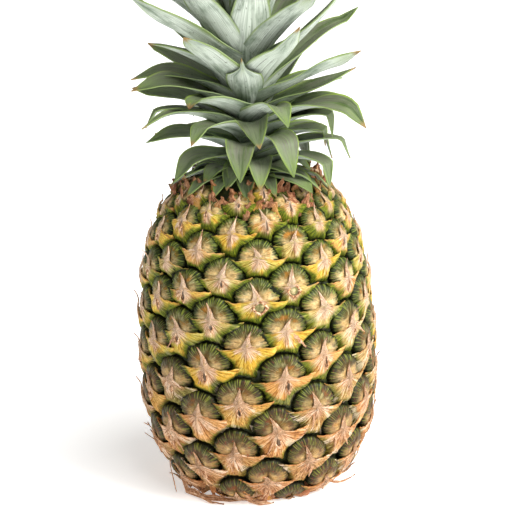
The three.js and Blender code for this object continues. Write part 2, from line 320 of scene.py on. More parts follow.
class Value:
    """What a node gives. Arithmetic on it adds further nodes."""

    def __init__(self, socket):
        self.socket = socket
        self.tree = socket.id_data

    def math(self, operation, other=0.0):
        return Value(add_node(self.tree, "Math", self, other, operation=operation).outputs[0])

    def __add__(self, other):
        return self.math("ADD", other)

    def __sub__(self, other):
        return self.math("SUBTRACT", other)

    def __mul__(self, other):
        return self.math("MULTIPLY", other)

    def __abs__(self):
        return self.math("ABSOLUTE")

    def band(self, low, high, start=0.0, end=1.0):
        """Start below low, end over high, and a soft step between them."""
        given = (self, low, high, start, end)
        return Value(add_node(self.tree, "MapRange", *given, interpolation_type="SMOOTHSTEP").outputs[0])

    def ramp(self, *stops):
        """Colours at their positions along this value, blended between them."""
        node = add_node(self.tree, "ValToRGB", self)
        elements = node.color_ramp.elements
        while len(elements) < len(stops):
            elements.new(1.0)
        for element, (position, colour) in zip(elements, stops):
            element.position = position
            element.color = screen(*colour)
        return Value(node.outputs[0])

    def mix(self, under, over, blend="MIX"):
        """One colour where this value is 0, and the other over it where it is 1."""
        # The node's sockets for colours come after those for numbers and vectors.
        node = add_node(self.tree, "Mix", self, data_type="RGBA", blend_type=blend)
        feed(node.inputs[6], under)
        feed(node.inputs[7], over)
        return Value(node.outputs[2])


def distance(across, up):
    return (across * across + up * up).math("SQRT")


class Paint:
    """One material. Its colour is a ground, and each coat goes over what is there so far."""

    def __init__(self, name, roughness, specular=0.5):
        self.material = bpy.data.materials.new(name)
        self.material.use_nodes = True
        self.tree = self.material.node_tree
        self.inputs = self.tree.nodes["Principled BSDF"].inputs
        self.inputs["Roughness"].default_value = roughness
        self.inputs["Specular IOR Level"].default_value = specular
        self.colour = None

    def split(self, socket):
        return [Value(output) for output in add_node(self.tree, "SeparateXYZ", Value(socket)).outputs]

    def attribute(self, name):
        """The three numbers of a point's named value."""
        return self.split(add_node(self.tree, "Attribute", attribute_name=name).outputs["Vector"])

    def place(self):
        return add_node(self.tree, "TexCoord").outputs["Object"]

    def texture(self, vector, scale, detail, roughness):
        node = add_node(self.tree, "TexNoise", Value(vector))
        feed(node.inputs["Scale"], scale)
        feed(node.inputs["Detail"], detail)
        feed(node.inputs["Roughness"], roughness)
        return Value(node.outputs[0])

    def grain(self, scale, detail, roughness=0.5):
        """Noise in the object's own space."""
        return self.texture(self.place(), scale, detail, roughness)

    def noise(self, x, y, z, detail=2, roughness=0.5, scale=1):
        """Noise over three values."""
        vector = add_node(self.tree, "CombineXYZ", x, y, z).outputs[0]
        return self.texture(vector, scale, detail, roughness)

    def coat(self, tint, share, blend="MIX"):
        self.colour = share.mix(self.colour, tint, blend)

    def bump(self, height, millimetres):
        node = add_node(self.tree, "Bump")
        feed(node.inputs["Distance"], millimetres * MM)
        feed(node.inputs["Height"], height)
        feed(self.inputs["Normal"], Value(node.outputs[0]))

    def finish(self, roughness=None):
        feed(self.inputs["Base Color"], self.colour)
        if roughness is not None:
            feed(self.inputs["Roughness"], roughness)
        return self.material


# Materials of the rind

def groove_material():
    paint = Paint("rind_groove", 0.6)
    grain = paint.grain(420, 3)
    # Dark green groove skin, darkened to near black as painted shade of the deep grooves.
    paint.colour = grain.ramp((0.3, (22, 30, 8)), (0.55, (52, 62, 20)), (0.75, (88, 78, 34)))
    paint.bump(grain, 0.4)
    return paint.finish()


def cushion_material():
    """Olive with pale lobes, a green pleated rim and older purple-brown cushions low on the fruit, with
    painted sheen, and painted shade at the rim and low down.
    """
    paint = Paint("rind_cushion", 0.42, 0.25)
    turn, share, chance = paint.attribute("eye_polar")
    across, up, height = paint.attribute("eye_place")
    seed = chance * 60
    streaks = paint.noise(turn * 8, share * 1.6, seed, 3, 0.65)
    pleats = paint.noise(turn * 19, share * 1.2, seed)
    clouds = paint.noise(across * 2.6, up * 2.6, seed, 4, 0.6)
    grain = paint.grain(900, 2)
    middle = abs(across)
    reach = share + (streaks - 0.5) * 0.35 + (clouds - 0.5) * 0.4
    # From a pale middle to a dark olive rim; the near-black end at the rim is painted shade where the
    # cushion dips into the groove.
    paint.colour = reach.ramp(
        (0.1, (166, 130, 72)),
        (0.36, (122, 104, 50)),
        (0.52, (86, 82, 28)),
        (0.66, (58, 68, 12)),
        (0.82, (32, 50, 5)),
        (1.0, (14, 26, 3)),
    )
    lobe = distance(middle - 0.36, up + 0.12) + (clouds - 0.5) * 0.9
    lobe = lobe + (streaks - 0.5) * 0.7 + (chance - 0.5) * 0.34
    cream = clouds.ramp((0.35, (202, 150, 82)), (0.5, (236, 202, 138)), (0.65, (248, 224, 172)))
    paint.coat(cream, lobe.band(0.5, 0.12))
    # Grey-green painted sheen in soft patches over the cushion's middle.
    painted_sheen = clouds.band(0.5, 0.36) * share.band(0.9, 0.5) * chance.band(0.1, 0.7, 0.5, 1.5)
    paint.coat((136, 138, 94), painted_sheen * 0.45)
    rays = streaks.band(0.52, 0.66) * share.band(0.85, 0.6)
    paint.coat((210, 198, 142), rays * 0.6)
    sunk = streaks.band(0.46, 0.34) * share.band(0.85, 0.6)
    paint.coat((70, 60, 30), sunk * 0.62)
    blush = up.band(-0.1, 0.35) * share.band(0.2, 0.4) * share.band(0.8, 0.5)
    blush = blush * clouds.band(0.46, 0.66) * chance.band(0.25, 0.7)
    paint.coat((196, 124, 30), blush * 0.75)
    old = height.band(0.66, 0.15) * clouds.band(0.33, 0.52) * share.band(0.3, 0.55)
    old = old * share.band(0.98, 0.84) * streaks.band(0.3, 0.6, 0.5, 1.0)
    paint.coat((86, 44, 46), old * 0.62)
    paint.coat((176, 60, 44), old * grain.band(0.6, 0.7) * 0.7)
    crease = middle.band(0.08, 0.01) * share.band(0.6, 0.25)
    paint.coat((84, 54, 28), crease * 0.6)
    outer = share.band(0.56, 0.74) * share.band(0.985, 0.93)
    paint.coat((142, 156, 62), outer * pleats.band(0.5, 0.64) * 0.75)
    paint.coat((26, 42, 8), outer * pleats.band(0.48, 0.36) * 0.7)
    # Near black at the very rim, where the cushion dips into the groove: painted shade.
    paint.coat((14, 20, 4), share.band(0.93, 0.99))
    paint.coat((60, 50, 22), grain.band(0.4, 0.62, 0.0, 0.22))
    # Darker and warmer towards the bottom of the fruit: partly the older rind's colour, partly painted
    # shade of the lower half.
    paint.coat((218, 192, 164), height.band(0.6, 0.1, 0.0, 0.6), "MULTIPLY")
    paint.bump(streaks * 0.6 + pleats * 0.6, 0.8)
    return paint.finish(clouds.band(0.2, 0.8, 0.34, 0.6))


def bract_material():
    """Pink and straw paper that turns gold, lime or peach down the bract, and green near the grooves, with
    painted shade and highlight.
    """
    paint = Paint("rind_bract", 0.6, 0.22)
    fan, reach, chance = paint.attribute("bract_fan")
    edge, height, other = paint.attribute("bract_edge")
    near, tear_across, tear_up = paint.attribute("bract_near")
    seed = chance * 80
    fibres = paint.noise(fan * 12, reach * 1.8, seed, 4, 0.7)
    patches = paint.noise(fan * 1.6, reach * 2.4, seed, 3)
    flecks = paint.noise(fan * 34, reach * 11, seed, 4, 0.65)
    pits = paint.grain(800, 3, 0.6)
    grain = fibres * 0.64 + flecks * 0.36
    paint.colour = grain.ramp(
        (0.4, (255, 236, 208)),
        (0.48, (242, 204, 166)),
        (0.54, (212, 158, 114)),
        (0.6, (152, 96, 56)),
        (0.67, (78, 44, 22)),
    )
    low = (height + (other - 0.5) * 0.2).band(0.55, 0.15)
    soiled = low * (flecks + patches - 0.5).band(0.44, 0.62)
    paint.coat((112, 76, 48), soiled * 0.65)
    gold = grain.ramp((0.4, (250, 226, 74)), (0.5, (228, 182, 20)), (0.62, (144, 100, 12)))
    lime = grain.ramp((0.38, (226, 218, 76)), (0.5, (184, 174, 34)), (0.62, (104, 98, 16)))
    peach = grain.ramp((0.38, (250, 212, 144)), (0.5, (226, 168, 90)), (0.62, (154, 92, 44)))
    golden = (other + patches - 0.5).band(0.35, 0.6)
    peachy = (other + fibres - 0.5).band(0.74, 0.88) * 0.85
    zone = reach + abs(fan) * 0.14 + (patches - 0.5) * 1.1 + (fibres - 0.5) * 0.5
    ripe = zone.band(0.26, 0.48) * other.band(0.0, 0.5, 0.6, 1.0) * low.band(1.0, 0.2, 0.3, 0.92)
    paint.coat(peachy.mix(golden.mix(lime, gold), peach), ripe * 0.92)
    rust = patches.band(0.42, 0.3) * low.band(0.1, 0.9, 0.25, 0.8) * reach.band(0.3, 0.6)
    paint.coat((176, 96, 46), rust)
    leafy = grain.ramp((0.38, (166, 170, 44)), (0.5, (92, 106, 18)), (0.62, (36, 50, 7)))
    close = near + (patches - 0.5) * 0.5 + (fibres - 0.5) * 0.5
    close = close + height.band(0.72, 1.0, 0.0, -0.16) + chance.band(0.5, 1.0, 0.0, -0.14)
    paint.coat(leafy, close.band(1.42, 1.2) * reach.band(0.1, 0.45) * low.band(0.2, 1.0, 1.0, 0.75))
    border = edge.band(0.1, 0.0) * patches.band(0.4, 0.6)
    paint.coat((224, 162, 104), border * 0.6)
    # Near black where the bract drops into the groove beside the next cushion: painted shade.
    paint.coat((20, 28, 5), near.band(1.17, 1.05))
    torn = distance(tear_across, tear_up) + (flecks - 0.5) * 1.2
    paint.coat((236, 202, 168), torn.band(1.15, 0.95))
    # Dark inside the tear: painted shade of the opening.
    paint.coat((52, 34, 20), torn.band(0.85, 0.5, 0.0, 0.9))
    # Paler towards the root and over the spine: the spine's own pale colour, lightened further as painted
    # highlight.
    pale = reach.band(0.35, -0.1) * grain.band(0.6, 0.44)
    paint.coat((255, 232, 206), pale * 0.6)
    # Darker and warmer towards the bottom of the fruit: partly the older bracts' colour, partly painted
    # shade of the lower half.
    paint.coat((228, 196, 164), height.band(0.6, 0.1, 0.0, 0.8), "MULTIPLY")
    bleached = low * (fibres + patches - 0.5).band(0.44, 0.34)
    paint.coat((250, 226, 198), bleached * 0.75)
    cracks = (low + 0.15) * (pits + flecks - 0.5).band(0.58, 0.68)
    paint.coat((78, 46, 24), cracks * 0.7)
    paint.coat((168, 112, 76), reach.band(-0.7, -1.0) * 0.5)
    paint.bump(grain + pits * 0.12, 1.6)
    return paint.finish()


# The rind

SKIN_DEPTH = -3.6
SKIN_SIDES = 96
SKIN_RINGS = 60
SOCKET_RADIUS = 13.6
SOCKET_TOP = 14.6
FOOT_CLOSING = 16
NECK_CLOSING = 12


def turned(profile, sides, pointed=False):
    """A closed body round the axis, from a flat start, by radii and heights, to a flat or pointed end."""
    radius, z = profile[0]
    bpy.ops.mesh.primitive_circle_add(
        vertices=sides, radius=radius, fill_type="NGON", location=(0, 0, z)
    )
    body = bpy.context.object
    bpy.ops.object.mode_set(mode="EDIT")
    for (radius, z), (next_radius, next_z) in zip(profile, profile[1:]):
        bpy.ops.mesh.extrude_edges_move(TRANSFORM_OT_translate={"value": (0, 0, next_z - z)})
        share = next_radius / radius
        bpy.ops.transform.resize(value=(share, share, 1))
    if pointed:
        bpy.ops.mesh.extrude_edges_move()
        bpy.ops.mesh.merge(type="CENTER")
    else:
        bpy.ops.mesh.edge_face_add()
    bpy.ops.mesh.select_all(action="SELECT")
    bpy.ops.mesh.normals_make_consistent(inside=False)
    bpy.ops.object.mode_set(mode="OBJECT")
    bpy.ops.object.transform_apply(location=True, rotation=True, scale=True)
    return body


def fruit_skin():
    """The ground of the grooves, with the stalk's socket."""
    arcs = np.linspace(0, ARCS[-1], SKIN_RINGS)
    fade = np.minimum(smoothstep(arcs, 0, FOOT_CLOSING), smoothstep(ARCS[-1] - arcs, 0, NECK_CLOSING))
    rings = zip(*profile_at(arcs, SKIN_DEPTH * fade))
    profile = [(SOCKET_RADIUS, SOCKET_TOP), (SOCKET_RADIUS, 0), *rings]
    skin = turned([(radius * MM, z * MM) for radius, z in profile], SKIN_SIDES)
    skin.name = "fruit_skin"
    wear(skin, groove_material())
    belong(skin, "fruit", 40)


PLEATS = 24
CUSHION_SIDES = 2 * PLEATS
CUSHION_HALF = 11
CUSHION_MIDDLE = -2.5
CUSHION_RISE = 9.4
CUSHION_FALL = 6.5
CUSHION_UNDERSIDE = -4.4
# A cushion's heights at shares of the way from its middle to its rim, which are also its rings.
DOME = (
    [0, 0.15, 0.32, 0.5, 0.68, 0.82, 0.91, 0.965, 1],
    [0.5, 0.65, 0.9, 0.9, 0.55, 0.0, -0.7, -1.7, -3.3],
)
PLEAT_HEIGHT = 0.26
CREASE_DEPTH = 0.75
FOLD_HEIGHT = 0.16


def cushion_shape(eye, across, up, level):
    """A cushion on its eye: pleated at the rim, with two lobes and a crease between them."""
    share = np.hypot(across, up)
    turn = np.arctan2(up, across)
    rim = smoothstep(share, 0.55, 1)
    pleat = np.cos(PLEATS * turn) * rim
    wobble = 0.02 * np.sin(3 * turn + 6 * eye.chance[0])
    wobble = wobble + 0.015 * np.sin(5 * turn + 6 * eye.chance[1])
    spread = 1.02 + (0.03 * pleat + wobble) * share
    crease = np.exp(-((across / 0.1) ** 2)) * smoothstep(up, -0.3, 0.1) * (1 - rim)
    folds = np.sin(9 * turn + 6 * eye.chance[2]) * share * (1 - share) * 4
    height = np.interp(share, *DOME) + PLEAT_HEIGHT * pleat - CREASE_DEPTH * crease + FOLD_HEIGHT * folds
    height = np.where(level < -0.5, CUSHION_UNDERSIDE, height)
    x = CUSHION_HALF * across * spread
    y = np.where(up > 0, CUSHION_RISE, CUSHION_FALL) * up * spread
    return on_rind(eye, x, (y + CUSHION_MIDDLE) * eye.tall, height), {
        "eye_polar": (turn, share, eye.chance[3]),
        "eye_place": (across, up, eye.height),
    }


def eye_cushions(eyes):
    rings = [(share, 0) for share in DOME[0][:0:-1]]
    template = turned([(1, -1), *rings], CUSHION_SIDES, pointed=True)
    points = points_of(template.data).T
    cushions = joined_copies(template, "eye_cushions", [cushion_shape(eye, *points) for eye in eyes])
    wear(cushions, cushion_material())
    belong(cushions, "fruit", 70)


BRACT_HALF = 15.2
BRACT_CROWDING = 1.35
BRACT_COLUMNS = 28
BRACT_ROWS = 14
BRACT_THICKNESS = 0.5
BRACT_ROOT = -4
SPINE_HALF = 2.7
SPINE_TAPER = 1.8
# Shapes of a bract from its middle line out, as distances and heights or shares there.
UPPER_EDGE = ([0, 3, 5, 8, 11, 13.5, 15.2], [-2.6, -3.7, -4.5, -4.9, -5.0, -4.7, -4.4])
LOWER_EDGE = ([0, 3, 6, 9, 12, 14.2, 15.2], [1, 0.99, 0.95, 0.82, 0.55, 0.18, 0])
BRACT_RELIEF = ([0, 3, 7, 11, 14, 16.5], [2.1, 1.8, 1.4, 1.2, 0.9, 0.0])
BRACT_FOOT = -2.2
GROOVE_DROP = 2.6
WING_LEAD = 0.2
# How far a bract's foot runs under the next cushion, and the sizes of its waves and folds.
FOOT_UNDERLAP = 6.5
EDGE_WAVES = 0.5
FOOT_WAVES = 1.1
RIB_HEIGHT = 0.5
RIDGE_HEIGHT = 0.5
FOLD_WAVES = 0.35
CRUMPLE = 0.17
# A tear in a bract: half its width and length, its middle and depth, the share of bracts that have one,
# and the distance from a tear, in tears, that a whole bract gives.
TEAR_WIDTH = 1.1
TEAR_LENGTH = 3
TEAR_MIDDLE = -7.4
TEAR_DEPTH = 0.7
TORN_SHARE = 0.5
NO_TEAR = 9
# The small bud in a torn bract, and the room round it.
BUD_RADIUS = 2.3
BUD_ROOM = 1.35
BUD_SHIFT = 1.2
BUD_BASE = 0.8


def waves(at, chances, size):
    """A smooth random line, which is ragged edges and folds."""
    first, second, third = chances[:3]
    low = np.sin(0.55 * at + 9 * first) + 0.7 * np.sin(1.3 * at + 11 * second)
    return size * (low + 0.5 * np.sin(2.6 * at + 13 * third)) / 2


def tear_of(eye):
    """Where a torn bract's tear lies on it, and its half width and half length."""
    y = TEAR_MIDDLE * eye.pitch
    if eye.budded:
        return BUD_SHIFT, y, BUD_ROOM * BUD_RADIUS, BUD_ROOM * BUD_RADIUS
    x = 2.4 * (eye.chance[4] - 0.5)
    return x, y, TEAR_WIDTH * (0.6 + 0.6 * eye.chance[3]), TEAR_LENGTH * (0.6 + 0.6 * eye.chance[5])


def is_torn(eye):
    return eye.budded or eye.chance[1] < TORN_SHARE


def bract_shape(eye, eyes, columns, rows):
    """A bract on its eye: wings, a ragged foot, and the spine over its middle."""
    x = BRACT_HALF * np.sign(columns) * np.abs(columns) ** BRACT_CROWDING
    side = np.abs(x)
    down = (1 - rows) / 2
    foot_reach = ROW_PITCH * eye.pitch - CUSHION_RISE * eye.tall + FOOT_UNDERLAP
    edge = np.interp(side, *UPPER_EDGE) * eye.tall
    edge = edge + waves(x, eye.chance, EDGE_WAVES) * smoothstep(side, 2, 5)
    inner = np.clip(1 - side / SPINE_HALF, 0, 1) ** SPINE_TAPER
    top = edge + inner * (eye.tip - edge)
    foot = edge - np.interp(side, *LOWER_EDGE) * (foot_reach + edge)
    foot = foot + waves(x, eye.chance[2:], FOOT_WAVES) * smoothstep(side, 14, 10)
    y = top + (foot - top) * down
    body = np.clip((edge - y) / np.maximum(edge - foot, 0.1), 0, 1)
    spine = np.clip((y - edge) / (eye.tip - edge), 0, 1)
    fan = np.arctan2(x, BRACT_ROOT - y + 0.01)
    relief = np.interp(side, *BRACT_RELIEF)
    height = relief + (BRACT_FOOT - relief) * body**1.6
    height = height + RIB_HEIGHT * np.exp(-((x / 1.6) ** 2)) * (1 - body)
    ridges = 1 - 2 * np.abs(np.sin(2.6 * fan + 6 * eye.chance[0]))
    folds = RIDGE_HEIGHT * ridges + waves(fan * 6, eye.chance[1:], FOLD_WAVES)
    height = height + np.sin(np.pi * body) * folds
    height = height + eye.lift * spine**2.4 - 0.25 * spine * side - 1.1 * smoothstep(spine, 0, 0.6)
    crumple = np.random.default_rng(int(eye.chance[0] * 1e6)).normal(0, 1, len(x))
    height = height + CRUMPLE * crumple * smoothstep(body, 0.05, 0.4)
    near = nearness(eye, eyes, x, y)
    wing = smoothstep(side, 4, 8) * (1 - smoothstep(body, 0.3, 0.62))
    groove = (1 - smoothstep(near, 0.98, 1.32)) * (1 - smoothstep(spine, 0, 0.3))
    height = height - GROOVE_DROP * groove * (1 - 0.75 * wing)
    tear_x, tear_y, tear_width, tear_length = tear_of(eye)
    tear_across = (x - tear_x) / tear_width if is_torn(eye) else NO_TEAR
    tear_up = (y - tear_y) / tear_length if is_torn(eye) else NO_TEAR
    height = height - TEAR_DEPTH * (1 - smoothstep(np.hypot(tear_across, tear_up), 0.4, 1))
    reach = np.where(spine > 0, -spine, np.hypot(x, y - BRACT_ROOT) / foot_reach)
    border = np.minimum(np.minimum(down, 1 - down) * 2, 1 - np.abs(columns))
    return on_rind(eye, x + eye.sway * spine**1.5, y, height), {
        "bract_fan": (fan, reach, eye.chance[4]),
        "bract_edge": (border, eye.height, eye.chance[5]),
        "bract_near": (near + WING_LEAD * wing, tear_across, tear_up),
    }


def rind_bracts(eyes):
    """The bracts of the lower and of the upper half, each a piece."""
    paper = bract_material()
    half = len(eyes) // 2
    for name, some in (("lower_bracts", eyes[:half]), ("upper_bracts", eyes[half:])):
        grid, columns, rows = grid_of(BRACT_COLUMNS, BRACT_ROWS)
        bracts = joined_copies(grid, name, [bract_shape(eye, eyes, columns, rows) for eye in some])
        wear(bracts, paper)
        thicken(bracts, BRACT_THICKNESS)
        belong(bracts, "fruit")


LIP_HALF = 0.28
LIP_BASE = 1.7
LIP_RISE = 0.5


def lip_shape(eye, across, up, lip):
    """The curled lip of a bract's tear, from a ring."""
    x, y, width, length = tear_of(eye)
    pointed = 1 - 0.6 * np.abs(up) ** 1.5
    curl = 1 + 0.5 * np.sin(3 * up + 9 * eye.chance[2])
    height = LIP_BASE + LIP_RISE * curl * lip / LIP_HALF - 0.5 * (1 - up) * eye.chance[0]
    return on_rind(eye, x + width * across * pointed, y + length * up, height), {}


def bud_shape(eye, across, up, level):
    """The bud in a torn bract, from a ball."""
    x, y, _, _ = tear_of(eye)
    ribs = BUD_RADIUS * (1 + 0.06 * np.sin(5 * np.arctan2(up, across)))
    height = BUD_BASE + 0.8 * BUD_RADIUS * level
    return on_rind(eye, x - 0.4 + ribs * across, y + 0.4 + ribs * up, height), {}


def small_piece(template, name, shape, eyes, paint, grain_scale, tones):
    """A copy of the template on each of the eyes, in tones that follow a grain."""
    points = points_of(template.data).T
    piece = joined_copies(template, name, [shape(eye, *points) for eye in eyes])
    grain = paint.grain(grain_scale, 3, 0.6)
    paint.colour = grain.ramp(*tones)
    paint.bump(grain, 0.5)
    wear(piece, paint.finish())
    belong(piece, "fruit")


def torn_lips(eyes):
    bpy.ops.mesh.primitive_torus_add(
        major_segments=18, minor_segments=6, major_radius=1, minor_radius=LIP_HALF
    )
    ring = bpy.context.object
    torn = [eye for eye in eyes if is_torn(eye)]
    paint = Paint("torn_lip", 0.7, 0.25)
    tones = [(0.38, (244, 214, 180)), (0.5, (200, 150, 108)), (0.62, (116, 74, 44))]
    small_piece(ring, "torn_lips", lip_shape, torn, paint, 700, tones)


def torn_buds(eyes):
    bpy.ops.mesh.primitive_uv_sphere_add(segments=24, ring_count=16, radius=1)
    ball = bpy.context.object
    budded = [eye for eye in eyes if eye.budded]
    paint = Paint("bud_skin", 0.6, 0.2)
    tones = [(0.36, (84, 82, 44)), (0.5, (134, 128, 82)), (0.64, (196, 180, 134))]
    small_piece(ball, "torn_buds", bud_shape, budded, paint, 380, tones)


DRY_COLUMNS = 6
DRY_ROWS = 10
DRY_THICKNESS = 0.4
LOWEST_STRIP = 0.5


def round_axis(azimuth, reach, height):
    turn = math.radians(azimuth)
    return reach * math.sin(turn), -reach * math.cos(turn), height


def dry_shape(path, half_width, chances, columns, rows):
    """A dry scale along a path of points, with its face turned outwards."""
    path = np.array(path, float)
    along = (rows + 1) / 2
    walked = walked_along(path)
    walked /= walked[-1]
    directions = np.gradient(path, walked, axis=0)
    outward = path * (1, 1, 0) + (0, 0, 8)
    middle, direction, face = (
        np.stack([np.interp(along, walked, line) for line in values.T], axis=1)
        for values in (path, directions, outward)
    )
    side = unit(np.cross(direction, face))
    face = unit(np.cross(side, direction))
    width = half_width * (1 - along**2.2) * (0.7 + 0.5 * along)
    torn = 0.16 * np.sin(17 * along + 9 * chances[0] + 3 * np.sign(columns)) * np.abs(columns)
    torn = torn + 0.1 * np.sin(41 * along + 5 * chances[1]) * columns
    cup = 0.12 * half_width * np.sin(7 * along + 6 * chances[1] + 3 * columns) - 0.4 * width * columns**2
    points = middle + side * (columns * width + half_width * torn)[:, None] + face * cup[:, None]
    points[:, 2] = np.maximum(points[:, 2], LOWEST_STRIP)
    return points, {"dry_place": (columns, along, chances[2]), "dry_look": chances[3:]}


def dry_material(name, tones, rust, amber):
    """Dry bracts: fibres in four tones, some of them rusty, some amber."""
    paint = Paint(name, 0.68, 0.25)
    across, along, chance = paint.attribute("dry_place")
    red, gold, other = paint.attribute("dry_look")
    fibres = paint.noise(across * 6, along * 2, chance * 70, 4, 0.7)
    grain = fibres * 0.65 + paint.grain(620, 4, 0.65) * 0.35
    paint.colour = grain.ramp(*zip((0.38, 0.47, 0.55, 0.65), tones))
    paint.coat(rust, red.band(0.3, 0.8) * along.band(1.0, 0.2, 0.3, 1.0) * 0.6)
    paint.coat(amber, gold.band(0.55, 0.9) * along.band(0.9, 0.3) * 0.7)
    paint.coat((72, 70, 28), along.band(0.45, 0.0) * other.band(0.3, 0.8) * 0.6)
    paint.bump(grain, 1.0)
    return paint.finish()


def dry_piece(name, material, scales):
    """A piece of dry scales, each given as its path, half width and six chances."""
    grid, columns, rows = grid_of(DRY_COLUMNS, DRY_ROWS)
    piece = joined_copies(grid, name, [dry_shape(*scale, columns, rows) for scale in scales])
    wear(piece, material)
    thicken(piece, DRY_THICKNESS)
    belong(piece, "fruit")


# The neck's rows of scales: how many, where on the outline and how long.
NECK_ROWS = [(30, 170, 6), (30, 175, 6), (28, 180, 5)]
NECK_SEED = 19


def neck_scales():
    """The ring of dry pointed bracts between the highest eyes and the lowest leaves."""
    chances = np.random.default_rng(NECK_SEED)
    scales = []
    for count, arc, length in NECK_ROWS:
        for k in range(count):
            azimuth = 360 * (k + chances.random()) / count
            start = arc + chances.normal(0, 1.8)
            rise = length * (0.6 + 0.8 * chances.random())
            lean = chances.normal(0.5, 0.9)
            twist = chances.normal(0, 4)
            (root, out), (low, high) = profile_at(np.array([start - 2, start + 3]), -1.2)
            path = [
                round_axis(azimuth, root, low),
                round_axis(azimuth, out + 1, high + 1.2),
                round_axis(azimuth + 0.4 * twist, out + 1.4 + 0.5 * lean, high + 0.6 * rise),
                round_axis(azimuth + twist, out + 1.4 + 1.6 * lean, high + rise),
            ]
            scales.append((path, 2 + 2 * chances.random(), chances.random(6)))
    tones = [(226, 182, 140), (180, 126, 88), (124, 78, 50), (62, 38, 24)]
    paper = dry_material("neck_paper", tones, (128, 62, 40), (206, 160, 66))
    dry_piece("neck_scales", paper, scales)


BASE_SEED = 23
BASE_COUNT = 84
BASE_ARCS = (9, 25)
# Loose strips and strands at the foot: half width, then points as azimuth, reach and height.
LOOSE_STRIPS = [
    (2.8, [(-58, 51, 9), (-52, 52, 2.6), (-38, 50.5, 1.6), (-24, 47.5, 1.2), (-12, 44, 1)]),
    (1.2, [(-46, 48, 5), (-40, 52, 2.4), (-31, 52.5, 1.2), (-24, 51, 1)]),
    (0.5, [(-62, 54, 21), (-60, 56.5, 17), (-58, 56, 9), (-57, 55, 1)]),
    (0.5, [(-72, 55, 26), (-74, 60, 31), (-76, 62, 35)]),
    (0.5, [(-74, 52, 20), (-78, 59, 24), (-82, 63, 26)]),
    (2.0, [(-14, 43, 4), (-8, 47, 1.6), (-2, 49, 1.2), (6, 48, 1.2)]),
    (0.8, [(42, 50, 7), (49, 53, 5), (56, 55, 5), (60, 56, 6)]),
]

# Frayed strips: how many a bract may have, and the share of the fruit's height above which none has any.
FIBRE_SEED = 29
FIBRES = 3
FRAYED_BELOW = 0.6


def loose_fibres(eyes):
    """Frayed strips that stand off the older bracts."""
    chances = np.random.default_rng(FIBRE_SEED)
    strips = []
    for eye in eyes:
        for _ in range(FIBRES):
            shift, slant, flare = chances.normal(0, 2.2), chances.normal(0, 4.5), chances.random()
            if chances.random() > FRAYED_BELOW - eye.height:
                continue
            x = np.array([shift, shift + 0.5 * slant, shift + slant])
            y = np.array([-4.0, -7.5, -11.0]) * eye.pitch + 3 * (flare - 0.5)
            height = np.array([1.4, 2.1, 1.4 + 1.2 * flare])
            path = on_rind(eye, x, y, height)
            strips.append((path, 0.6 + 0.8 * chances.random(), 0.5 * chances.random(6)))
    tones = [(250, 224, 194), (222, 176, 136), (176, 120, 80), (104, 66, 40)]
    paper = dry_material("fibre_paper", tones, (170, 98, 60), (214, 160, 60))
    dry_piece("loose_fibres", paper, strips)


def base_scales():
    """The dry ragged bracts that hang round the foot of the fruit, and the loose strips there."""
    chances = np.random.default_rng(BASE_SEED)
    scales = []
    for k in range(BASE_COUNT):
        azimuth = 360 * (k + chances.random()) / BASE_COUNT
        start = BASE_ARCS[0] + (BASE_ARCS[1] - BASE_ARCS[0]) * chances.random() ** 1.4
        length = 7 + 8 * chances.random()
        twist = chances.normal(0, 7)
        heights = np.array([-2.2, 0.4, 1.2, 0.4 + 2.4 * chances.random()])
        shares = np.linspace(0, 1, 4)
        spots = zip(azimuth + twist * shares, *profile_at(start - length * shares, heights))
        path = [round_axis(*spot) for spot in spots]
        scales.append((path, 2 + 2.8 * chances.random(), chances.random(6)))
    for half_width, spots in LOOSE_STRIPS:
        scales.append(([round_axis(*spot) for spot in spots], half_width, 0.45 * chances.random(6)))
    tones = [(246, 216, 184), (212, 162, 122), (160, 104, 66), (88, 54, 32)]
    paper = dry_material("base_paper", tones, (158, 84, 48), (206, 146, 40))
    dry_piece("base_scales", paper, scales)


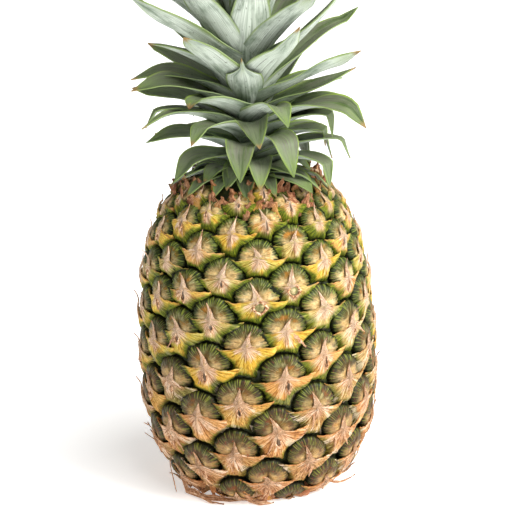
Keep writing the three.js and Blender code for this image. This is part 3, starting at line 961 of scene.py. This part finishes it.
# The crown's leaves, from the lowest rows of the side that faces -Y to the innermost. A leaf runs in an
# upright plane at its azimuth: from its foot past its knee to its end, and from there to its tip.
# (azimuth, half width, foot height, knee reach, knee height, end reach, end height, tip reach,
# tip height), with reaches from the axis and heights over the neck.
FRONT_LEAVES = [
    (-62, 9, -3, 18, 4, 28, 3, 38, 1),
    (-16, 9.5, -2, 18, 8, 30, 3, 37, -1),
    (28, 10, -3, 22, 10, 34, 8, 40, 6),
    (48, 9.5, -5, 24, 6, 40, 0, 47, -4),
    (10, 9.5, -1, 20, 14, 33, 9, 40, -1),
    (-65, 10, 4, 24, 14, 34, 9, 43, 0),
    (55, 10, -2, 24, 14, 45, 8, 47, -6),
    (-8, 10.5, 6, 22, 24, 33, 18, 38, 3),
    (28, 11, 8, 24, 27, 37, 21, 45, 5),
    (-78, 10, 8, 30, 26, 45, 21, 53, 19),
    (68, 8.5, 4, 30, 20, 49, 18, 53, 8),
    (76, 9.5, 8, 24, 24, 39, 22, 40, 14),
    (3, 10.5, 16, 20, 34, 30, 28, 36, 19),
    (-36, 11, 16, 24, 31, 39, 29, 46, 22),
    (66, 10, 14, 28, 34, 44, 31, 46, 20),
    (-60, 10, 16, 30, 40, 50, 34, 60, 30),
    (-75, 10, 20, 26, 36, 47, 35, 53, 27),
    (28, 12.5, 20, 20, 36, 33, 38, 44, 30),
    (62, 10.5, 18, 36, 42, 56, 35, 65, 26),
    (80, 10.5, 20, 26, 36, 50, 35, 52, 31),
    (-40, 13.5, 24, 20, 40, 38, 42, 41, 39),
    (-72, 10.5, 26, 34, 54, 50, 49, 60, 47),
    (85, 10, 28, 26, 38, 46, 47, 55, 52),
    (-2, 9.5, 32, 16, 44, 22, 53, 23, 62),
    (-86, 10.5, 32, 30, 56, 48, 52, 58, 50),
    (70, 10.5, 34, 24, 46, 48, 56, 59, 62),
    (34, 12.5, 36, 16, 54, 36, 66, 46, 78),
    (-40, 12.5, 38, 18, 54, 38, 68, 46, 75),
    (-80, 10.5, 42, 24, 60, 42, 67, 49, 69),
    (10, 14, 40, 14, 62, 23, 90, 31, 108),
    (-58, 12.5, 48, 22, 66, 50, 85, 62, 95),
    (60, 11.5, 46, 30, 66, 50, 86, 60, 98),
    (36, 11, 50, 26, 76, 48, 88, 58, 96),
    (-42, 12, 46, 16, 70, 36, 94, 44, 104),
    (-62, 12, 50, 20, 80, 44, 96, 52, 104),
    (22, 12, 50, 14, 80, 26, 112, 32, 132),
    (-14, 13.5, 52, 10, 80, 14, 122, 17, 148),
]
FRONT_REACH = 95
SPIRAL_SEED = 5
SPIRAL_COUNT = 48
SPIRAL_TURN = 137.508
INNER_SHARE = 0.84
COLLAR_COUNT = 12
COLLAR_LEAF = (7.5, -2, 20, 8, 27, 5, 33, 0)
LEAF_FOOT_REACH = 3
LEAF_KEEL = 0.38
LEAF_FULLNESS = 2.7
BLUNT_LEAVES = {(-2, 32): 7, (34, 36): 3.6, (-40, 38): 3.6, (-40, 24): 5}
# Leaves that only the looks have, which lie low over the shoulder and hide the neck.
LOW_LEAVES = [
    (-50, 8.5, -5, 22, 3, 34, -1, 42, -6),
    (-30, 7.5, -5, 20, 3, 31, 0, 38, -5),
    (-8, 7, -5, 20, 4, 30, 0, 37, -7),
    (14, 7, -5, 20, 3, 30, 1, 37, -6),
    (40, 10, -5, 24, 5, 40, 0, 47, -4),
    (-84, 8, -5, 22, 3, 34, -1, 42, -5),
    (66, 8, -5, 22, 4, 36, -1, 44, -8),
]
LEAF_SEED = 3
CLASP_SHARE = (0.3, 0.75)
CLASP_RADIUS = 9
ROLL = 1.1
SWAY = 7
SIDE_REACH = 112
SIDE_SHORTENING = 0.85
LEAF_THICKNESS = 1.5
LEAF_COLUMNS = 12
LEAF_ROWS = 30
CURVE_STEPS = 40


def spiral_leaf(azimuth, share, draw):
    """A leaf of the far side, from share 0 for the lowest to share 1 for the innermost."""
    arch = math.sin(math.pi * share)
    inner = max(0, (share - 0.7) / 0.3)
    foot = -4 + 58 * share
    end_reach = 36 + 24 * arch - 16 * inner + 6 * (draw() - 0.5)
    end_height = 4 + 132 * share**1.15 + 8 * (draw() - 0.5)
    knee_reach = (0.5 - 0.15 * inner) * end_reach
    knee_height = foot + 0.72 * (end_height - foot) + 14 * (1 - share)
    half_width = 10 + 2.8 * arch
    creased = share < 0.5 and draw() < 0.5
    tip_reach = end_reach + (4 if creased else 9 - 5 * inner) + 3 * (draw() - 0.5)
    tip_height = end_height + (-13 if creased else 22 * share - 6) + 4 * (draw() - 0.5)
    return azimuth, half_width, foot, knee_reach, knee_height, end_reach, end_height, tip_reach, tip_height


def all_leaves():
    leaves = [(360 * (k + 0.5) / COLLAR_COUNT, *COLLAR_LEAF) for k in range(COLLAR_COUNT)]
    leaves += FRONT_LEAVES
    leaves += LOW_LEAVES
    draw = seeded(SPIRAL_SEED)
    for k in range(SPIRAL_COUNT):
        share = k / (SPIRAL_COUNT - 1)
        azimuth = (k * SPIRAL_TURN + 180) % 360 - 180
        leaf = spiral_leaf(azimuth, share, draw)
        if abs(azimuth) > FRONT_REACH or share > INNER_SHARE:
            if FRONT_REACH < abs(azimuth) < SIDE_REACH:
                leaf = (*leaf[:5], leaf[5] * SIDE_SHORTENING, leaf[6], leaf[7] * SIDE_SHORTENING, leaf[8])
            leaves.append(leaf)
    return leaves


def leaf_path(leaf, along):
    """Reach and height at shares of a leaf's length, and its direction there."""
    _, _, foot, knee_reach, knee_height, end_reach, end_height, tip_reach, tip_height = leaf
    t = np.linspace(0, 1, CURVE_STEPS)[:, None]
    start = np.array([LEAF_FOOT_REACH, foot])
    knee = np.array([knee_reach, knee_height])
    end = np.array([end_reach, end_height])
    curve = start * (1 - t) ** 2 + knee * 2 * t * (1 - t) + end * t**2
    path = np.concatenate([curve, [[tip_reach, tip_height]]])
    walked = walked_along(path)
    at = along * walked[-1]
    reach, height = (np.interp(at, walked, line) for line in path.T)
    ahead, behind = at + 0.8, at - 0.8
    run, rise = (np.interp(ahead, walked, line) - np.interp(behind, walked, line) for line in path.T)
    length = np.hypot(run, rise)
    return reach, height, run / length, rise / length, walked[-1]


def leaf_shape(leaf, columns, rows, chances):
    """A leaf: a channel with waved edges that narrows to the tip."""
    azimuth, half_width = leaf[:2]
    along = (rows + 1) / 2
    reach, height, run, rise, length = leaf_path(leaf, along)
    fullness = BLUNT_LEAVES.get((azimuth, leaf[2]), LEAF_FULLNESS)
    width = half_width * (1 - along**fullness) * (0.92 + 0.14 * along)
    if fullness > 6:
        width = width * (1 - 0.8 * smoothstep(along, 0.72, 0.88))
    keel = LEAF_KEEL * width * (1 - 0.4 * along)
    edge = np.abs(columns)
    wave = np.sin(along * length * 0.13 + 9 * chances[0] + 2 * np.sign(columns))
    ripple = 1.7 * wave * edge**2.5 * (1.1 - along) * smoothstep(along, 0.2, 0.5)
    ripple = ripple + ROLL * (chances[1] - 0.5) * columns * width * smoothstep(along, 0.35, 0.9)
    lift = keel * edge**1.6 + ripple
    turn = math.radians(azimuth)
    sway = SWAY * (chances[0] - 0.5) * along**2.5
    sideways = columns * width + sway
    outward = reach - rise * lift
    upward = NECK_HEIGHT + height + run * lift
    clasp = 1 - smoothstep(along, *CLASP_SHARE)
    round_stem = turn + sideways / np.maximum(outward, CLASP_RADIUS)
    x = outward * math.sin(turn) + sideways * math.cos(turn)
    y = -outward * math.cos(turn) + sideways * math.sin(turn)
    x = x + clasp * (outward * np.sin(round_stem) - x)
    y = y + clasp * (-outward * np.cos(round_stem) - y)
    return np.stack([x, y, upward], axis=1), {
        "leaf_place": (columns, along, chances[2]),
        "leaf_look": (length / 100, chances[4], 0),
    }


def leaf_paint(name, roughness, body, streak, bloom, bloom_share, rim, fold_share):
    """A leaf's side: fibres along it, a pale bloom, a coloured rim and a dry tip."""
    paint = Paint(name, roughness, 0.4)
    across, along, chance = paint.attribute("leaf_place")
    length, dry, _ = paint.attribute("leaf_look")
    seed = chance * 90
    walked = along * length
    fibres = paint.noise(across * 14, walked * 2, seed, 3, 0.6)
    fine = paint.noise(across * 46, walked * 3, seed)
    clouds = paint.noise(across * 1.5, walked * 5, seed, 4, 0.6)
    paint.colour = fibres.band(0.3, 0.7).mix(body, streak)
    paint.coat(bloom, clouds.band(0.28, 0.58) * bloom_share * fine.band(0.3, 0.65, 0.45, 1.0))
    edge = abs(across)
    rib = edge.band(0.07, 0.0) * along.band(0.75, 0.45)
    paint.coat((62, 78, 58), rib * 0.45)
    specks = paint.grain(520, 2).band(0.66, 0.72)
    paint.coat((72, 84, 52), specks * 0.5)
    ragged = edge + (clouds - 0.5) * 0.4 + along * 0.1
    paint.coat(rim, ragged.band(0.9, 1.06) * 0.85)
    young = along.band(0.7, 0.97) * clouds.band(0.42, 0.6)
    paint.coat((112, 138, 46), young * 0.7)
    fold = along.band(0.4, 0.6) * along.band(0.9, 0.66) * fine.band(0.47, 0.58)
    paint.coat((96, 88, 84), fold * fold_share)
    scratch = fibres.band(0.6, 0.7) * clouds.band(0.5, 0.6)
    paint.coat((44, 56, 34), scratch * 0.7)
    scorch = (along + (clouds - 0.5) * 0.1).band(0.92, 0.98) * dry.band(0.45, 0.55)
    paint.coat(fibres.ramp((0.4, (186, 158, 96)), (0.6, (112, 78, 42))), scorch)
    paint.bump(fibres + fine * 0.5, 0.35)
    return paint.finish(clouds.band(0.2, 0.8, roughness - 0.08, roughness + 0.1))


def crown_leaves():
    grid, columns, rows = grid_of(LEAF_COLUMNS, LEAF_ROWS)
    chances = np.random.default_rng(LEAF_SEED)
    shapes = [leaf_shape(leaf, columns, rows, chances.random(5)) for leaf in all_leaves()]
    leaves = joined_copies(grid, "crown_leaves", shapes)
    thickness = leaves.vertex_groups.new(name="thickness")
    weights = np.tile((1 - 0.6 * (rows + 1) / 2) * (1 - 0.75 * columns**2), len(shapes))
    for point, weight in enumerate(weights):
        thickness.add([point], float(weight), "REPLACE")
    wear(
        leaves,
        leaf_paint(
            "leaf_under", 0.55, (78, 98, 76), (138, 156, 134),
            bloom=(222, 232, 220), bloom_share=1.0, rim=(124, 148, 66), fold_share=0.0,
        ),
        leaf_paint(
            "leaf_upper", 0.42, (42, 64, 24), (92, 120, 44),
            bloom=(146, 152, 130), bloom_share=0.66, rim=(146, 174, 60), fold_share=0.85,
        ),
    )
    thicken(
        leaves, LEAF_THICKNESS, offset=0, vertex_group="thickness", thickness_vertex_group=0.15,
        material_offset=1,
    )
    belong(leaves, "crown", 50)


# The stalk, the ground and the light

def cut_stalk():
    """The stalk's solid is right as it is, and only wears the fibres of its cut end."""
    paint = Paint("stalk_fibre", 0.85, 0.2)
    x, y, z = paint.split(paint.place())
    pith = paint.noise(x, y, z * 0.1, 4, 0.7, 900)
    fibres = pith * 0.6 + paint.grain(120, 3) * 0.4
    paint.colour = fibres.ramp((0.35, (96, 66, 36)), (0.5, (158, 122, 76)), (0.65, (206, 176, 126)))
    paint.bump(pith, 0.8)
    material = paint.finish()
    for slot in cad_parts["stalk"].material_slots:
        slot.material = material


GROUND_SIZE = 40
GROUND_GLOW = (1, 0.99, 0.97, 1)
GROUND_GLOW_STRENGTH = 0.47


def ground():
    bpy.ops.mesh.primitive_plane_add(size=GROUND_SIZE)
    floor = bpy.context.object
    floor.name = "ground"
    paint = Paint("ground_white", 0.9, 0.1)
    paint.colour = paint.grain(3, 2).mix((247, 247, 247), (250, 250, 250))
    paint.inputs["Emission Color"].default_value = GROUND_GLOW
    paint.inputs["Emission Strength"].default_value = GROUND_GLOW_STRENGTH
    wear(floor, paint.finish())


# The lights, in metres and degrees: a key at the right, a broad sun, and a sky that fades overhead.
LIT_MIDDLE = (0, 0, 0.12)
KEY_PLACE = (0.9, -0.6, 1.0)
KEY_SIZE = 0.5
KEY_POWER = 16
KEY_COLOUR = (1.0, 0.97, 0.92)
SUN_DIRECTION = (0.74, -0.4, 1.05)
SUN_STRENGTH = 2.9
SUN_ANGLE = 60
SKY_FADE = (0.02, 0.3)
SKY_STRENGTH = 1.0
OVERHEAD = 0.27


def lamp(name, kind, strength, direction):
    """A light that shines from a direction."""
    light = bpy.data.lights.new(name, kind)
    light.energy = strength
    holder = new_object(name, light)
    holder.rotation_euler = Vector(direction).to_track_quat("Z", "Y").to_euler()
    return holder


def studio():
    key = lamp("key", "AREA", KEY_POWER, Vector(KEY_PLACE) - Vector(LIT_MIDDLE))
    key.location = KEY_PLACE
    key.data.size = KEY_SIZE
    key.data.color = KEY_COLOUR
    sun = lamp("sun", "SUN", SUN_STRENGTH, SUN_DIRECTION)
    sun.data.angle = math.radians(SUN_ANGLE)
    world = bpy.data.worlds.new("studio")
    world.use_nodes = True
    tree = world.node_tree
    parts = add_node(tree, "SeparateXYZ", Value(add_node(tree, "TexCoord").outputs["Generated"]))
    fade = add_node(tree, "MapRange", Value(parts.outputs[2]), *SKY_FADE, SKY_STRENGTH, OVERHEAD)
    sky = tree.nodes["Background"]
    sky.inputs["Color"].default_value = (1, 1, 1, 1)
    feed(sky.inputs["Strength"], Value(fade.outputs[0]))
    bpy.context.scene.world = world
    bpy.context.scene.view_settings.view_transform = "Standard"


# The camera stands 0.8 m from the fruit's middle and looks down on it by 20 degrees.
CAMERA_TARGET = 0.08
CAMERA_DISTANCE = 0.8
CAMERA_ELEVATION = 20
CAMERA_ROLL = 2.4
SENSOR_WIDTH = 36
PHOTO_WIDTH = 512
PHOTO_FOCAL = 1508
TARGET_BELOW = 72
TARGET_RIGHT = 1


def camera():
    data = bpy.data.cameras.new("camera")
    data.sensor_width = SENSOR_WIDTH
    data.lens = PHOTO_FOCAL * SENSOR_WIDTH / PHOTO_WIDTH
    data.dof.use_dof = False
    eye = new_object("camera", data)
    elevation = math.radians(CAMERA_ELEVATION)
    back = CAMERA_DISTANCE * math.cos(elevation)
    place = (0, -back, CAMERA_TARGET + CAMERA_DISTANCE * math.sin(elevation))
    turns = [
        (90 - CAMERA_ELEVATION, "X"),
        (-CAMERA_ROLL, "Z"),
        (math.degrees(math.atan(TARGET_BELOW / PHOTO_FOCAL)), "X"),
        (math.degrees(math.atan(TARGET_RIGHT / PHOTO_FOCAL)), "Y"),
    ]
    matrix = Matrix.Translation(place)
    for degrees, axis in turns:
        matrix = matrix @ Matrix.Rotation(math.radians(degrees), 4, axis)
    eye.matrix_world = matrix
    bpy.context.scene.camera = eye


camera()
EYES = all_eyes()
fruit_skin()
eye_cushions(EYES)
rind_bracts(EYES)
torn_lips(EYES)
torn_buds(EYES)
neck_scales()
loose_fibres(EYES)
base_scales()
crown_leaves()
cut_stalk()
ground()
studio()

bpy.context.view_layer.update()
